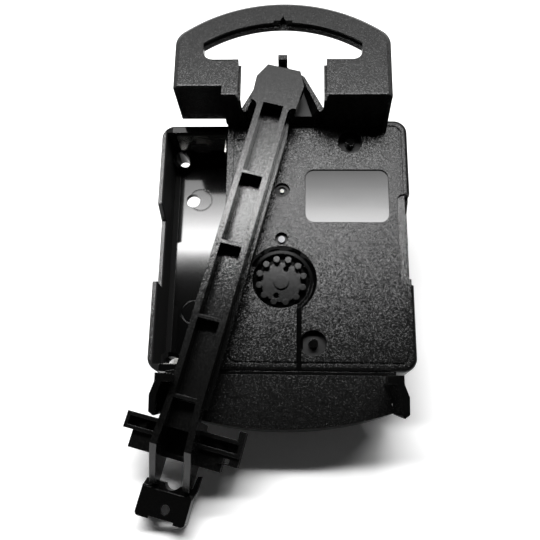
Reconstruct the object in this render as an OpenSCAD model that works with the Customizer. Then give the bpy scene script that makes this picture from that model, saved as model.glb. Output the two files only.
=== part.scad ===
// Quartz pendulum clock movement, seen from behind along +Y, with +Z up and +X to the right.
// The origin is the centre shaft's axis on the dial seat. Every module is drawn with y = 0 on the
// back cover's rear face, and on_dial_seat() then moves it so that the dial seat is y = 0.

/* [Case] */
// Width of the case
case_w = 56; // [56:1:60]
// Height of the case
case_h = 57; // [57:1:60]
// Depth from the back cover's rear face to the dial seat
case_depth = 18; // [18:0.5:20]
// Radius of the case's corners
case_corner_r = 3; // [2:0.5:4]
// Thickness of the side walls
side_wall = 1.1; // [1:0.1:1.3]
// Thickness of the top and bottom walls
end_wall = 1.6; // [1.2:0.1:1.8]
// Thickness of the wall on the dial side
front_wall = 1.5; // [1.2:0.1:1.5]
// Height of the finger notches in both side walls
notch_h = 18; // [12:1:20]
// Depth of the left finger notch below the rim
notch_depth = 5.6; // [4:0.2:6]
// Depth of the right finger notch below the rim
right_notch_depth = 2.3; // [1.5:0.1:3]
// Width of the step that the right notch cuts into the cover
notch_step = 2.8; // [2:0.1:2.8]

/* [Battery bay] */
// Width of the bay, for an AA cell
bay_w = 14.7; // [14.6:0.1:15]
// Diameter of an AA cell
cell_d = 14.5; // [14.5:0.1:14.5]
// Length of an AA cell
cell_l = 50.5; // [50:0.1:50.5]
// Thickness of the wall between bay and gears
partition = 0.9; // [0.8:0.1:1]
// Radius of the two screw holes in the bay's corners
screw_hole_r = 1.4; // [1.2:0.1:1.6]
// Radius of the bosses around the screw holes
screw_boss_r = 2.4; // [2.2:0.1:2.6]
// Spacing of the two screw holes
screw_spacing = 50; // [49:0.5:50]
// Radius of the hole in the bay's floor
floor_hole_r = 1.7; // [1:0.1:2]
// Radius of the round moulding marks on the bay's floor
mark_r = 2.9; // [2:0.1:3]

/* [Back cover] */
// Height of the cover's skirt
skirt_h = 3; // [2.6:0.1:3.4]
// Thickness of the cover's plate
cover_plate = 1.2; // [1:0.1:1.4]
// Rounding of the cover's rear edge
cover_edge_r = 0.8; // [0.5:0.1:0.9]
// Depth of the fine grooves and the label field
fine_depth = 0.35; // [0.2:0.05:0.4]
// Width of the fine groove along the rim
rim_groove_w = 0.5; // [0.3:0.1:0.6]
// Width of the label field
label_w = 18.3; // [14:0.5:19]
// Height of the label field
label_h = 12.4; // [10:0.2:13]
// Radius of the knob pocket
pocket_r = 6.1; // [5.8:0.1:6.3]
// Width of the chamfer around the knob pocket
pocket_chamfer = 1.5; // [1:0.1:1.5]
// Depth of the knob pocket
pocket_depth = 3; // [2.8:0.1:3.2]
// Width of the groove from the pocket to the cover's lower edge
drain_w = 1; // [0.8:0.1:1.5]
// Radius of the recesses around the two large studs
stud_recess_r = 2.7; // [2.4:0.1:2.9]
// Radius of the large studs
stud_r = 0.95; // [0.8:0.05:1.1]

/* [Hanger] */
// Distance from the cover's rear face to the hanger's rear face
hanger_reach = 12.7; // [12:0.1:13]
// Width of the hanger
hanger_w = 46.4; // [46:0.2:48]
// Thickness of the arch
arch_t = 2.4; // [2:0.1:2.6]
// Radius of the arch's outer edge
arch_r = 36.4; // [36:0.1:37]
// Height of the arch's top above the centre shaft
arch_top = 50.4; // [50:0.2:51]
// Width of the arch at its top
arch_band = 5.4; // [5:0.1:6]
// Chamfer of the hanger's outer rear edge
hanger_chamfer = 1; // [0.5:0.1:1.2]
// Wall thickness of the hanger's legs
leg_wall = 1.2; // [1:0.1:1.4]
// Half of the gap between the legs
leg_gap = 9.4; // [9.2:0.1:9.6]
// Width of the hanger opening
opening_w = 34; // [32:0.5:35]
// Height of the opening's lower edge above the centre shaft
opening_z = 35.9; // [35:0.1:36.2]
// Depth of the nail notch
nail_notch_t = 1.2; // [1:0.1:1.3]

/* [Pendulum] */
// Height of the pendulum's pivot above the centre shaft
pivot_z = 34.9; // [34.5:0.1:35]
// Tilt of the arm at rest, to the left
arm_tilt = 14.2; // [10:0.1:14.2]
// Radius of the pivot pin
pivot_pin_r = 0.8; // [0.6:0.1:1]
// Radial clearance of the shafts in their bores
running_gap = 0.05; // [0.03:0.01:0.08]
// Width over the arm's rails
arm_w = 7; // [6.6:0.1:7.2]
// Width of a rail
rail_w = 1.3; // [1.2:0.1:1.5]
// Height of the rails above the web
rail_h = 4; // [3.6:0.1:4.2]
// Thickness of the arm's web
web_t = 1.2; // [1:0.1:1.4]
// How far the web stands out beyond the rails
flange_w = 0.75; // [0.5:0.05:0.75]
// Distance from the hanger's rear face to the arm's rear face
arm_inset = 3.7; // [3.5:0.1:4]
// Pitch of the arm's cross ribs
rib_pitch = 15.9; // [15:0.1:16]
// Thickness of the arm's cross ribs
rib_t = 0.75; // [0.6:0.05:1]
// Width of the crosspiece
crosspiece_w = 24.4; // [22:0.2:25]
// Radius of the hole in the hook plate
hook_hole_r = 0.95; // [0.8:0.05:1.1]
// Width of the hook plate
hook_w = 10.1; // [9.6:0.1:10.4]

/* [Drive housing] */
// Radius of the housing's lower edge about the pivot
housing_r = 75.1; // [75:0.1:75.4]
// Half of the angle that the housing spans about the pivot
housing_half_angle = 17.8; // [17.8:0.1:18.2]
// Depth of the drive housing
housing_depth = 12; // [10:0.5:13]
// Outer radius of the drive coil
drive_coil_r = 4.1; // [3.6:0.1:4.2]

/* [Hand shafts] */
// Outer radius of the threaded bush
bush_r = 4; // [3.8:0.1:4.2]
// Length of the bush in front of the dial seat
bush_l = 8; // [6:0.5:10]
// Outer radius of the hour pipe
hour_pipe_r = 2.5; // [2.4:0.05:2.6]
// Outer radius of the minute pipe
minute_pipe_r = 1.75; // [1.7:0.05:1.8]
// Radius of the seconds arbor
seconds_r = 0.5; // [0.45:0.05:0.6]
// Length of each hand seat
hand_seat = 2.6; // [2:0.1:3]
// How much smaller in radius each hand seat is than its pipe or arbor
seat_step = 0.2; // [0.15:0.05:0.3]

/* [Gears] */
// Distance of the setting arbor below the centre shaft
setting_z = 9.3; // [9.3:0.05:9.4]
// Distance between the centre shaft and the third arbor
third_distance = 8.6; // [8.6:0.05:8.7]
// Direction of the third arbor from the centre shaft
third_angle = -15; // [-18:1:-12]
// Height of the rotor's axis above the centre shaft
rotor_z = 11.3; // [11.2:0.05:11.4]
// Module of the rotor pinion and the intermediate wheel
rotor_module = 0.25; // [0.25:0.005:0.25]
// Module of the intermediate pinion and the seconds wheel
seconds_module = 0.3; // [0.3:0.005:0.3]
// Thickness of the toothed wheels
wheel_t = 0.7; // [0.6:0.05:0.8]
// Radius of the plastic wheels' arbors
arbor_r = 0.45; // [0.4:0.05:0.5]
// Teeth of the pinions in the going train
pinion_teeth = 8; // [8:1:8]
// Teeth of the intermediate wheel
intermediate_teeth = 48; // [48:1:48]
// Teeth of the seconds wheel
seconds_teeth = 40; // [40:1:40]
// Teeth of the third wheel
third_teeth = 60; // [60:1:60]
// Teeth of the centre wheel
centre_teeth = 64; // [64:1:64]
// Teeth of the minute pipe's pinion
cannon_teeth = 12; // [12:1:12]
// Teeth of the minute wheel
minute_teeth = 36; // [36:1:36]
// Teeth of the minute wheel's pinion
minute_pinion_teeth = 10; // [10:1:10]
// Teeth of the hour wheel
hour_teeth = 40; // [40:1:40]

/* [Hidden] */
$fn = 64;

// Small amount that makes cuts run through
eps = 0.01;
black = [0.07, 0.07, 0.075];
steel = [0.75, 0.75, 0.77];
brass = [0.75, 0.6, 0.3];
copper = [0.72, 0.4, 0.22];
white_plastic = [0.85, 0.85, 0.82];
board_green = [0.1, 0.35, 0.15];

// Case
case_x = case_w / 2;
case_z = case_h / 2;
inner_x = case_x - side_wall;
inner_z = case_z - end_wall;
bay_x0 = -inner_x;
bay_x1 = bay_x0 + bay_w;
bay_mid = (bay_x0 + bay_x1) / 2;
gear_x0 = bay_x1 + partition;
floor_y = case_depth - front_wall;
cover_x0 = bay_x1 - 0.2;
cover_side = 0.9;
cell_y = floor_y - cell_d / 2;
screw_x = bay_x0 + 2.1;
screw_z = screw_spacing / 2;
boss_top = cell_y + 2.6;
boss_rib = 0.3 * screw_boss_r;
floor_hole_x = bay_x0 + 4.7;
floor_hole_z = 15.4;
mark_places = [[bay_x0 + 6.6, 15.6], [bay_x0 + 6.1, -12.6]];
mark_line = 0.25;
shaft_pit = 0.8;
cell_gap = 0.15;

// Knob pocket and recesses in the cover
pocket_floor = 0.8;
pocket_wall = 0.8;
pocket_step = 0.9;
drain_x = 3.85;
drain_depth = 0.7;
recess_depth = 2;
recess_wall = 0.7;
small_recess_r = 1.65;
small_recess_depth = 0.8;
well_r = 1;
well_depth = 1.2;
centre_hole_r = 1.38;
centre_hole_depth = 1.1;
notch_rail_y = 0.8;
rear_pivot_r = 0.75;
rear_pivot_y = 0.55;
rear_pivot_end = 3.2;
bearing_t = 0.8;
boss_y = 1.8;
stud_y = 0.05;
arbor_y = 1;
rotor_arbor_y = 0.6;
set_tube_r = arbor_r + 0.55;
stud_places = [[case_x - 12.8, case_z - 5.5], [case_x - 21.2, 5.8 - case_z]];
stud_boss_wall = 0.75;
rim_margin = 1.4;
label_place = [5.1, 3.8];
oval_place = [-10.9, 9];
oval_size = [5.1, 14.8];
oval_r = 1.6;

// Hanger
hanger_y = -hanger_reach;
hanger_x = hanger_w / 2;
arch_c = arch_top - arch_r;
opening_c = arch_c - 0.3;
arch_in_r = arch_r - arch_band + 0.3;
corner_r = 4;
corner_x = hanger_x - corner_r;
corner_z = arch_c + sqrt(pow(arch_r - corner_r, 2) - pow(corner_x, 2));
arch_lip = 0.4;
opening_x = opening_w / 2;
opening_r = 2;
leg_z = case_z - 1.1;
leg_end_wall = 0.9;
leg_lean = 0.5;
leg_foot_drop = 0.8;
leg_tab_drop = 2.2;
leg_tab_w = 0.9;
left_leg_z = leg_z + 2.1;
left_leg_step = 12.8;
left_leg_front = 1.3;
leg_front = 11;
facet_h = 0.4;
facet_t = 0.055;
roof_y = -6.5;
roof_t = 1.3;
niche_y = -3.5;
niche_t = 1.2;
niche_foot_x = 6.8;
niche_top_x = 3.6;
roof_foot_x = leg_gap - 0.5;
roof_foot_z = leg_z + 0.4;
roof_end_r = 0.45;
roof_top_x = 4.85;
roof_top_z = pivot_z + 1;
roof_corner = 0.5;
finger_end_y = -10;
finger_w = 2;
finger_z = pivot_z + 2.7;
finger_t = 1.15;

// Pendulum arm, measured down the arm from the pivot and out from the hanger's rear face
arm_y = hanger_y + arm_inset;
web_y = arm_y + rail_h;
arm_front = web_y + web_t;
half_arm = arm_w / 2;
ribs = 4;
head_top = 1.35;
head_bottom = 7.8;
head_top_x = 3.65;
head_x = 5.3;
head_side = 2;
head_bottom_x = 5;
head_skin = 1;
head_front = roof_y - 0.3;
hub_r = 2.2;
pin_end_y = arm_y + head_skin + 0.4;
housing_clear = 0.5;
web_end = housing_r - 2;
web_low = housing_r + 2.4;
last_rib = web_end - 1;
fork_start = housing_r + 6.5;
fork_end = housing_r + 14.1;
fork_y = 2.6;
foot_y = 6.6;
fork_half = half_arm + 0.65;
cross_top = housing_r + 1.8;
cross_mid = cross_top + 3.4;
cross_bottom = cross_top + 6.9;
cross_y = 0.7;
cross_x = crosspiece_w / 2;
cross_wall = 0.8;
lower_x = 10.5;
lower_right_x = 9;
hook_top = fork_end - 0.5;
hook_face_top = hook_top + 1.5;
hook_bottom = hook_face_top + 5.8;
hook_y = 4.6;
hook_depth = 5;
hook_t = 1.2;
hook_x = hook_w / 2;
hook_hole_s = hook_bottom - 2.45;
hook_wall = 1;
finger_top = hook_top - 3;
hook_left = hook_x + 0.6;
hook_right = hook_x - 0.2;
magnet_r = 2.6;
magnet_t = 2;

// Drive housing
housing_y = 0;
housing_top = -case_z - 0.8;
housing_wall = 1.1;
housing_plate = 1.2;
bridge_top = -case_z;
bridge_y = 0.6;
coil_z = (pivot_z - housing_r + housing_top) / 2;
magnet_s = pivot_z - coil_z;
bobbin_r = 1.9;
bobbin_hole_r = 1;
bobbin_flange = 0.6;
drive_coil_y0 = housing_plate + 0.5;
drive_coil_l = 6;
bracket_y1 = -0.2;
bracket_angle = housing_half_angle + 0.1;
bracket_top = housing_top - 1.5;
bracket_x = (pivot_z - bracket_top) * tan(bracket_angle) + 1.8;
bracket_shoulder = bracket_top - 1.6;
bracket_tip = pivot_z - housing_r * cos(housing_half_angle) - 2;
bracket_low = bracket_tip + 0.7;
bracket_middle = (bracket_shoulder + bracket_low) / 2 + 0.35;
bracket_in = (pivot_z - bracket_middle) * tan(bracket_angle);
bracket_out = bracket_in + 1.35;
bracket_slant = 1.7;
bridge_x = bracket_x + 0.6;
bumper_l = 7;
bumper_lip = arm_inset - 0.4;
bumper_x = bracket_x - 3.05;
bumper_gap = 0.1;

// Gears: layers along y, measured from the cover's rear face
function centre_distance(a, b, m) = (a + b) * m / 2;
function on_line(z, angle) = (pivot_z - z) * tan(angle);
function stop_x(z) = on_line(z, arm_tilt) + half_arm / cos(arm_tilt) + bumper_gap;
rotor_distance = centre_distance(pinion_teeth, intermediate_teeth, rotor_module);
seconds_distance = centre_distance(pinion_teeth, seconds_teeth, seconds_module);
third_module = 2 * third_distance / (pinion_teeth + third_teeth);
centre_module = 2 * third_distance / (pinion_teeth + centre_teeth);
minute_module = 2 * setting_z / (cannon_teeth + minute_teeth);
hour_module = 2 * setting_z / (minute_pinion_teeth + hour_teeth);
intermediate_z = (pow(seconds_distance, 2) - pow(rotor_distance, 2) + pow(rotor_z, 2)) / (2 * rotor_z);
intermediate_x = -sqrt(pow(seconds_distance, 2) - pow(intermediate_z, 2));
third_x = third_distance * cos(third_angle);
third_z = third_distance * sin(third_angle);
intermediate_y = 2.2;
seconds_y = 4.4;
third_y = 5.9;
plate_y = 7.3;
plate_t = 1;
centre_y = 9;
minute_y = 10.8;
hour_y = 12.6;
pinion_over = 0.35;
bush_flange_r = 5.4;
bush_collar_r = bush_r + 0.4;
bush_flange_t = 1.1;
hour_front = case_depth + bush_l + hand_seat;
minute_front = hour_front + hand_seat;
seconds_front = minute_front + hand_seat;
rotor_magnet_r = 2.5;
rotor_magnet_l = 2.6;
rotor_magnet_y = 3.6;
stator_y = 4.6;
stator_t = 0.8;
stator_ring_r = 4.6;
stator_hole_r = 3;
core_z = 18.2;
core_x0 = 3;
core_x1 = inner_x - 3.5;
core_h = 1.8;
coil_inset = 3.4;
coil_core_r = 1.4;
step_coil_r = 2.5;
step_flange_r = 2.7;
step_flange_t = 0.8;
board_y = 9.4;
board_t = 0.8;
board_x0 = inner_x - 13.4;
board_x1 = inner_x - 0.5;
board_z0 = 1.4 - inner_z;
board_z1 = board_z0 + 34.5;
board_screw_r = 0.8;
chip_place = [board_x0 + 6.5, board_z0 + 19.5];
crystal_place = [board_x0 + 6.5, board_z0 + 5.5];
crystal_r = 1.05;
crystal_l = 6.2;
plate_z = inner_z - 9.9;
plate_foot_r = 1.1;
plate_foot_z = plate_z - 2.4;
set_disc_r = 4.4;
set_disc_y = 1.8;
set_disc_t = 0.8;
set_hub_r = 1.6;
set_hub_y = 1.2;
peg_circle_r = 4.8;
peg_r = 0.7;
peg_y = 0.3;
set_hole_r = 0.6;
set_hole_place = 3.1;
contact_t = 0.3;
contact_y0 = skirt_h + 1.2;
contact_y1 = boss_top - 0.4;
contact_x0 = bay_x0 + 2;
contact_x1 = bay_x1 - 1;

// Moves a module drawn from the cover's rear face so that the dial seat is y = 0
module on_dial_seat() {
    translate([0, -case_depth, 0]) children();
}

// Extrudes an outline of the X-Z plane from y0 to y1
module along_y(y0, y1) {
    translate([0, y1, 0]) rotate([90, 0, 0]) linear_extrude(height = y1 - y0) children();
}

module block(x0, x1, y0, y1, z0, z1) {
    translate([x0, y0, z0]) cube([x1 - x0, y1 - y0, z1 - z0]);
}

module rod(x, z, r, y0, y1) {
    translate([x, y0, z]) rotate([-90, 0, 0]) cylinder(r = r, h = y1 - y0);
}

module rod_x(x0, x1, y, z, r) {
    translate([x0, y, z]) rotate([0, 90, 0]) cylinder(r = r, h = x1 - x0);
}

module rod_z(x, y, r, z0, z1) {
    translate([x, y, z0]) cylinder(r = r, h = z1 - z0);
}

// Extrudes an outline of the Y-Z plane from x0 to x1
module along_x(x0, x1) {
    translate([x0, 0, 0]) rotate([90, 0, 90]) linear_extrude(height = x1 - x0) children();
}

module cone(x, z, r0, r1, y0, y1) {
    translate([x, y0, z]) rotate([-90, 0, 0]) cylinder(r1 = r0, r2 = r1, h = y1 - y0);
}

module round_rect(x0, x1, z0, z1, r) {
    translate([x0 + r, z0]) square([x1 - x0 - 2 * r, z1 - z0]);
    translate([x0, z0 + r]) square([x1 - x0, z1 - z0 - 2 * r]);
    for (x = [x0 + r, x1 - r], z = [z0 + r, z1 - r]) translate([x, z]) circle(r);
}

// Toothed wheel outline with a tooth on the +X side
function tooth_point(angle, r, half_width) = [r * cos(angle + half_width / r * 180 / PI),
    r * sin(angle + half_width / r * 180 / PI)];

module gear_outline(teeth, m) {
    r = teeth * m / 2;
    root_r = r - 1.25 * m;
    tip_r = r + 0.8 * m;
    half = PI * m / 2;
    polygon([for (i = [0:teeth - 1], p = [
        [root_r, -0.5], [r, -0.4], [tip_r, -0.18], [tip_r, 0.18], [r, 0.4], [root_r, 0.5]])
        tooth_point(360 * i / teeth, p[0], p[1] * half)]);
}

// Toothed wheel at x, z, turned so that a tooth, or a gap, points at the angle towards
module gear(x, z, teeth, m, y0, y1, towards, gap = false) {
    turn = towards + (gap ? 180 / teeth : 0);
    translate([x, 0, z]) rotate([0, -turn, 0]) along_y(y0, y1) gear_outline(teeth, m);
}

// Case with its battery bay
module case_outline() {
    round_rect(-case_x, case_x, -case_z, case_z, case_corner_r);
}

module bay_floor_marks() {
    for (mark = mark_places) {
        difference() {
            rod(mark[0], mark[1], mark_r, floor_y - eps, floor_y + mark_line / 2);
            rod(mark[0], mark[1], mark_r - mark_line, floor_y - 2 * eps, floor_y + mark_line);
        }
    }
}

module bay_corner(side) {
    boss_z = side * screw_z;
    wall_z = side * (inner_z + eps);
    intersection() {
        difference() {
            union() {
                rod(screw_x, boss_z, screw_boss_r, boss_top, floor_y + eps);
                block(bay_x0 - eps, screw_x, boss_top + boss_rib, floor_y + eps,
                    boss_z - boss_rib, boss_z + boss_rib);
                block(screw_x - boss_rib, screw_x + boss_rib, boss_top + boss_rib, floor_y + eps,
                    min(boss_z, wall_z), max(boss_z, wall_z));
            }
            rod_z(bay_mid, cell_y, cell_d / 2 + cell_gap, -cell_l / 2 - cell_gap, cell_l / 2 + cell_gap);
        }
        block(bay_x0 - eps, bay_x1, 0, case_depth, -inner_z - eps, inner_z + eps);
    }
}

module front_shell() {
    color(black) on_dial_seat() difference() {
        union() {
            difference() {
                along_y(skirt_h, case_depth) case_outline();
                block(bay_x0, bay_x1, -eps, floor_y, -inner_z, inner_z);
                block(gear_x0, inner_x, -eps, floor_y, -inner_z, inner_z);
            }
            for (side = [-1, 1]) bay_corner(side);
            notch_shelf();
            for (p = stud_places) rod(p[0], p[1], stud_r + stud_boss_wall, board_y - 3, floor_y + eps);
        }
        for (side = [-1, 1]) rod(screw_x, side * screw_z, screw_hole_r, 0, case_depth + 1);
        rod(floor_hole_x, floor_hole_z, floor_hole_r, floor_y - 1, case_depth + 1);
        bay_floor_marks();
        rod(0, 0, bush_collar_r + running_gap, floor_y - 1, case_depth + 1);
        for (p = stud_places) rod(p[0], p[1], stud_r + running_gap, board_y - 4, floor_y - 2);
        rod(third_x, third_z, arbor_r + running_gap, floor_y - eps, floor_y + shaft_pit);
        rod(0, -setting_z, arbor_r + running_gap, floor_y - eps, floor_y + shaft_pit);
        left_notch();
        right_notch();
    }
}

// Finger notch in the left wall, with a sloped upper end
module left_notch() {
    z0 = -notch_h / 2;
    z1 = notch_h / 2 - 2;
    along_x(-case_x - 1, eps - inner_x)
        polygon([[skirt_h - 1, z0], [skirt_h + notch_depth, z0], [skirt_h + notch_depth, z1],
            [skirt_h - 1, z1 + 2.6]]);
}

module right_notch() {
    z0 = -notch_h / 2 + 0.9;
    z1 = notch_h / 2 - 1.2;
    y1 = skirt_h + right_notch_depth;
    along_x(inner_x - eps, case_x + 1)
        polygon([[skirt_h - 1, z0], [y1, z0], [y1, z1], [skirt_h - 1, z1 + 2.9]]);
}

// Outline of the right notch with rounded inner corners, drawn in by a gap
module right_notch_outline(gap) {
    z0 = -notch_h / 2 - 1.2 + gap;
    z1 = notch_h / 2 + 1.5 - gap;
    r = 1.5 - gap;
    x0 = case_x - notch_step + gap;
    translate([x0, z0 + r]) square([notch_step + 1, z1 - z0 - 2 * r]);
    translate([x0 + r, z0]) square([notch_step + 1 - r, z1 - z0]);
    for (z = [z0 + r, z1 - r]) translate([x0 + r, z]) circle(r);
}

// Shelf and wall along the inside of the right notch, with a rail that fills the cover's notch
module notch_shelf() {
    x0 = inner_x - notch_step + 0.3;
    intersection() {
        along_y(notch_rail_y, skirt_h + right_notch_depth + 1) right_notch_outline(running_gap);
        block(x0, inner_x + eps, 0, case_depth, -case_h, case_h);
    }
    y0 = skirt_h + right_notch_depth;
    z0 = -notch_h / 2 - 1.5;
    z1 = notch_h / 2 + 2;
    block(x0, inner_x + eps, y0, y0 + 1.4, z0, z1);
    block(x0, case_x - notch_step, skirt_h, y0 + eps, z0, z1);
    for (z = [z0, z1 - side_wall]) block(x0, inner_x + eps, skirt_h, y0 + eps, z, z + side_wall);
}

// Back cover: outline of its rim, u outwards and v along y, with a rounded rear edge
module cover_rim() {
    e = cover_edge_r;
    r = case_corner_r;
    square([r - e, skirt_h]);
    translate([0, e]) square([r, skirt_h - e]);
    translate([r - e, e]) circle(e);
}

module cover_slab() {
    r = case_corner_r;
    x1 = case_x - r;
    z1 = case_z - r;
    block(cover_x0, x1, 0, skirt_h, -z1, z1);
    translate([x1, 0, -z1]) linear_extrude(height = 2 * z1) cover_rim();
    for (side = [-1, 1]) {
        mirror([0, 0, side < 0 ? 1 : 0]) {
            translate([cover_x0, 0, z1]) rotate([0, -90, 0]) mirror([0, 0, 1])
                linear_extrude(height = x1 - cover_x0) cover_rim();
            translate([x1, 0, z1]) rotate([-90, 0, 0]) rotate([0, 0, -90])
                rotate_extrude(angle = 90) cover_rim();
        }
    }
}

module cover_studs_holes() {
    for (p = stud_places) {
        rod(p[0], p[1], stud_recess_r, -eps, recess_depth);
        rod(p[0], p[1], stud_r + running_gap, -eps, skirt_h + 2);
    }
    rod(0, rotor_z, small_recess_r, -eps, small_recess_depth);
    rod(0, rotor_z, well_r, -eps, well_depth);
    rod(0, rotor_z, arbor_r + running_gap, 0, intermediate_y);
    rod(0, 0, centre_hole_r, -eps, centre_hole_depth);
    rod(0, 0, rear_pivot_r + running_gap, 0, skirt_h);
}

module cover_bosses() {
    y = cover_plate - eps;
    for (p = stud_places) rod(p[0], p[1], stud_recess_r + recess_wall, y, recess_depth + recess_wall);
    rod(0, rotor_z, small_recess_r + recess_wall, y, boss_y);
    rod(0, 0, centre_hole_r + recess_wall, y, centre_hole_depth + bearing_t);
    rod(intermediate_x, intermediate_z, arbor_r + recess_wall, y, boss_y);
    rod(0, -setting_z, pocket_r + pocket_wall, y, pocket_depth + pocket_floor);
    rod(0, -setting_z, pocket_r + pocket_chamfer + pocket_wall / 2, y, boss_y);
}

module cover_pocket() {
    rod(0, -setting_z, pocket_r, -eps, pocket_depth);
    intersection() {
        cone(0, -setting_z, pocket_r + pocket_chamfer + eps, pocket_r + pocket_chamfer / 2, -eps,
            pocket_step);
        translate([0, 0, -setting_z]) along_y(-1, pocket_step)
            polygon([[0, 0], [4.1, -6.6], [5, -12], [12, -12], [12, 12], [-7, 12], [-9.5, 4.6]]);
    }
    rod(0, -setting_z, set_tube_r + running_gap, 0, pocket_depth + 2);
    block(drain_x - drain_w / 2, drain_x + drain_w / 2, -eps, drain_depth, -case_z - 1, -setting_z);
}

// Fine groove along a rounded rectangle
module groove_outline(x0, x1, z0, z1, r) {
    w = rim_groove_w;
    difference() {
        round_rect(x0, x1, z0, z1, r);
        round_rect(x0 + w, x1 - w, z0 + w, z1 - w, r - w);
    }
}

module cover_fine_lines() {
    x = label_place[0];
    z = label_place[1];
    edge_x = case_x - rim_margin;
    edge_z = case_z - rim_margin;
    along_y(-eps, fine_depth) {
        groove_outline(cover_x0 + rim_margin, edge_x, -edge_z, edge_z, 2);
        round_rect(x, x + label_w, z, z + label_h, 2);
        groove_outline(oval_place[0], oval_place[0] + oval_size[0], oval_place[1],
            oval_place[1] + oval_size[1], oval_r);
    }
}

module cover_right_notch() {
    along_y(-eps, skirt_h + eps) right_notch_outline(0);
}

module back_cover() {
    color(black) on_dial_seat() difference() {
        union() {
            difference() {
                cover_slab();
                block(gear_x0, case_x - notch_step - cover_side, cover_plate, skirt_h + 1,
                    -inner_z, inner_z);
            }
            cover_bosses();
        }
        cover_studs_holes();
        cover_pocket();
        cover_fine_lines();
        cover_right_notch();
        rod(intermediate_x, intermediate_z, arbor_r + running_gap, arbor_y - 0.1, intermediate_y);
    }
}

// Hanger
module arch_layer(inset, opening_radius) {
    outer = arch_r - inset;
    tip = [corner_x / (arch_r - corner_r), (corner_z - arch_c) / (arch_r - corner_r)];
    difference() {
        union() {
            intersection() {
                translate([0, arch_c]) circle(outer, $fn = 128);
                polygon([[0, arch_c], [-2 * arch_r * tip[0], arch_c + 2 * arch_r * tip[1]],
                    [2 * arch_r * tip[0], arch_c + 2 * arch_r * tip[1]]]);
            }
            for (side = [-1, 1]) translate([side * corner_x, corner_z]) circle(corner_r - inset);
            translate([-hanger_x + inset, opening_z - 1])
                square([hanger_w - 2 * inset, corner_z - opening_z + 1]);
        }
        hanger_opening(opening_radius);
        translate([-leg_gap, 0]) square([2 * leg_gap, opening_z + eps]);
    }
}

module hanger_opening(radius) {
    intersection() {
        translate([0, opening_c]) circle(radius, $fn = 128);
        union() {
            translate([-opening_x + opening_r, opening_z]) square([opening_w - 2 * opening_r, arch_r]);
            translate([-opening_x, opening_z + opening_r]) square([opening_w, arch_r]);
            for (side = [-1, 1])
                translate([side * (opening_x - opening_r), opening_z + opening_r]) circle(opening_r);
        }
    }
}

module leg_outline(inset) {
    translate([leg_gap, leg_z]) square([hanger_x - leg_gap - inset, opening_z - leg_z]);
    translate([-left_leg_step, leg_z]) square([left_leg_step - leg_gap, opening_z - leg_z]);
    translate([-hanger_x + inset, left_leg_z])
        square([hanger_x - left_leg_step - inset + eps, opening_z - left_leg_z]);
}

// Rear layer of the hanger, whose outer edge slopes back to the full width
module hanger_rear() {
    c = hanger_chamfer;
    y1 = hanger_y + c;
    tip = [corner_x / (arch_r - corner_r), (corner_z - arch_c) / (arch_r - corner_r)];
    intersection() {
        translate([0, hanger_y, arch_c]) rotate([-90, 0, 0])
            cylinder(r1 = arch_r - c, r2 = arch_r, h = c, $fn = 128);
        along_y(hanger_y, y1) difference() {
            polygon([[0, arch_c], [-2 * arch_r * tip[0], arch_c + 2 * arch_r * tip[1]],
                [2 * arch_r * tip[0], arch_c + 2 * arch_r * tip[1]]]);
            hanger_opening(arch_in_r);
            translate([-leg_gap, 0]) square([2 * leg_gap, opening_z + eps]);
        }
    }
    for (side = [-1, 1]) difference() {
        cone(side * corner_x, corner_z, corner_r - c, corner_r, hanger_y, y1);
        along_y(hanger_y - 1, y1 + 1) hanger_opening(arch_in_r);
    }
    difference() {
        union() {
            along_y(hanger_y, y1) arch_side_plate(c);
            hanger_side_wedge(1, leg_z);
            hanger_side_wedge(-1, left_leg_z);
        }
        along_y(hanger_y - 1, y1 + 1) hanger_opening(arch_in_r);
    }
}

module arch_side_plate(inset) {
    for (side = [-1, 1]) {
        x0 = side > 0 ? leg_gap : -hanger_x + inset;
        translate([x0, opening_z - eps]) square([hanger_x - inset - leg_gap, corner_z - opening_z + eps]);
    }
    leg_outline(inset);
}

module hanger_side_wedge(side, z0) {
    x0 = hanger_x - hanger_chamfer;
    y1 = hanger_y + hanger_chamfer;
    translate([0, 0, z0]) linear_extrude(height = corner_z - z0)
        polygon([[side * (x0 - eps), hanger_y], [side * x0, hanger_y], [side * hanger_x, y1],
            [side * (x0 - eps), y1]]);
}

module nail_notch() {
    top = opening_c + arch_in_r;
    y1 = hanger_y + nail_notch_t;
    along_y(hanger_y - 1, y1 + 0.7)
        polygon([[-1.7, top - 1.6], [-1.3, top - 0.9], [0, top + 1.6], [1.3, top - 0.9], [1.7, top - 1.6]]);
    along_x(-2, 2)
        polygon([[hanger_y - 1, top - 2], [hanger_y - 1, top + 0.7], [hanger_y, top + 0.5],
            [y1, top - 0.6], [y1, top - 2]]);
}

// Walls of the legs behind their rear plate, open towards the dial
module leg_box(x0, x1, z0, y1) {
    y0 = hanger_y + arch_t - eps;
    difference() {
        block(x0, x1, y0, y1, z0, opening_z);
        block(x0 + leg_wall, x1 - leg_wall, y0 - 1, y1 + 1, z0 + leg_end_wall, opening_z - leg_end_wall);
    }
}

// Underside of the right leg, which drops towards the case, most of all at its outer wall
module leg_foot(x0, x1, drop) {
    along_x(x0, x1) polygon([[hanger_y + arch_t - eps, leg_z], [0, leg_z - drop], [0, leg_z + eps],
        [hanger_y + arch_t - eps, leg_z + eps]]);
}

// Slope on the inner sides of the legs, which leaves the rear plate standing out
module leg_slope() {
    for (side = [-1, 1]) mirror([side < 0 ? 1 : 0, 0, 0]) along_y(hanger_y + arch_t, leg_front + 1)
        polygon([[leg_gap - 1, roof_foot_z], [leg_gap - leg_lean + eps, roof_foot_z],
            [leg_gap + leg_wall - 0.3, opening_z + eps], [leg_gap - 1, opening_z + eps]]);
}

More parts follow.
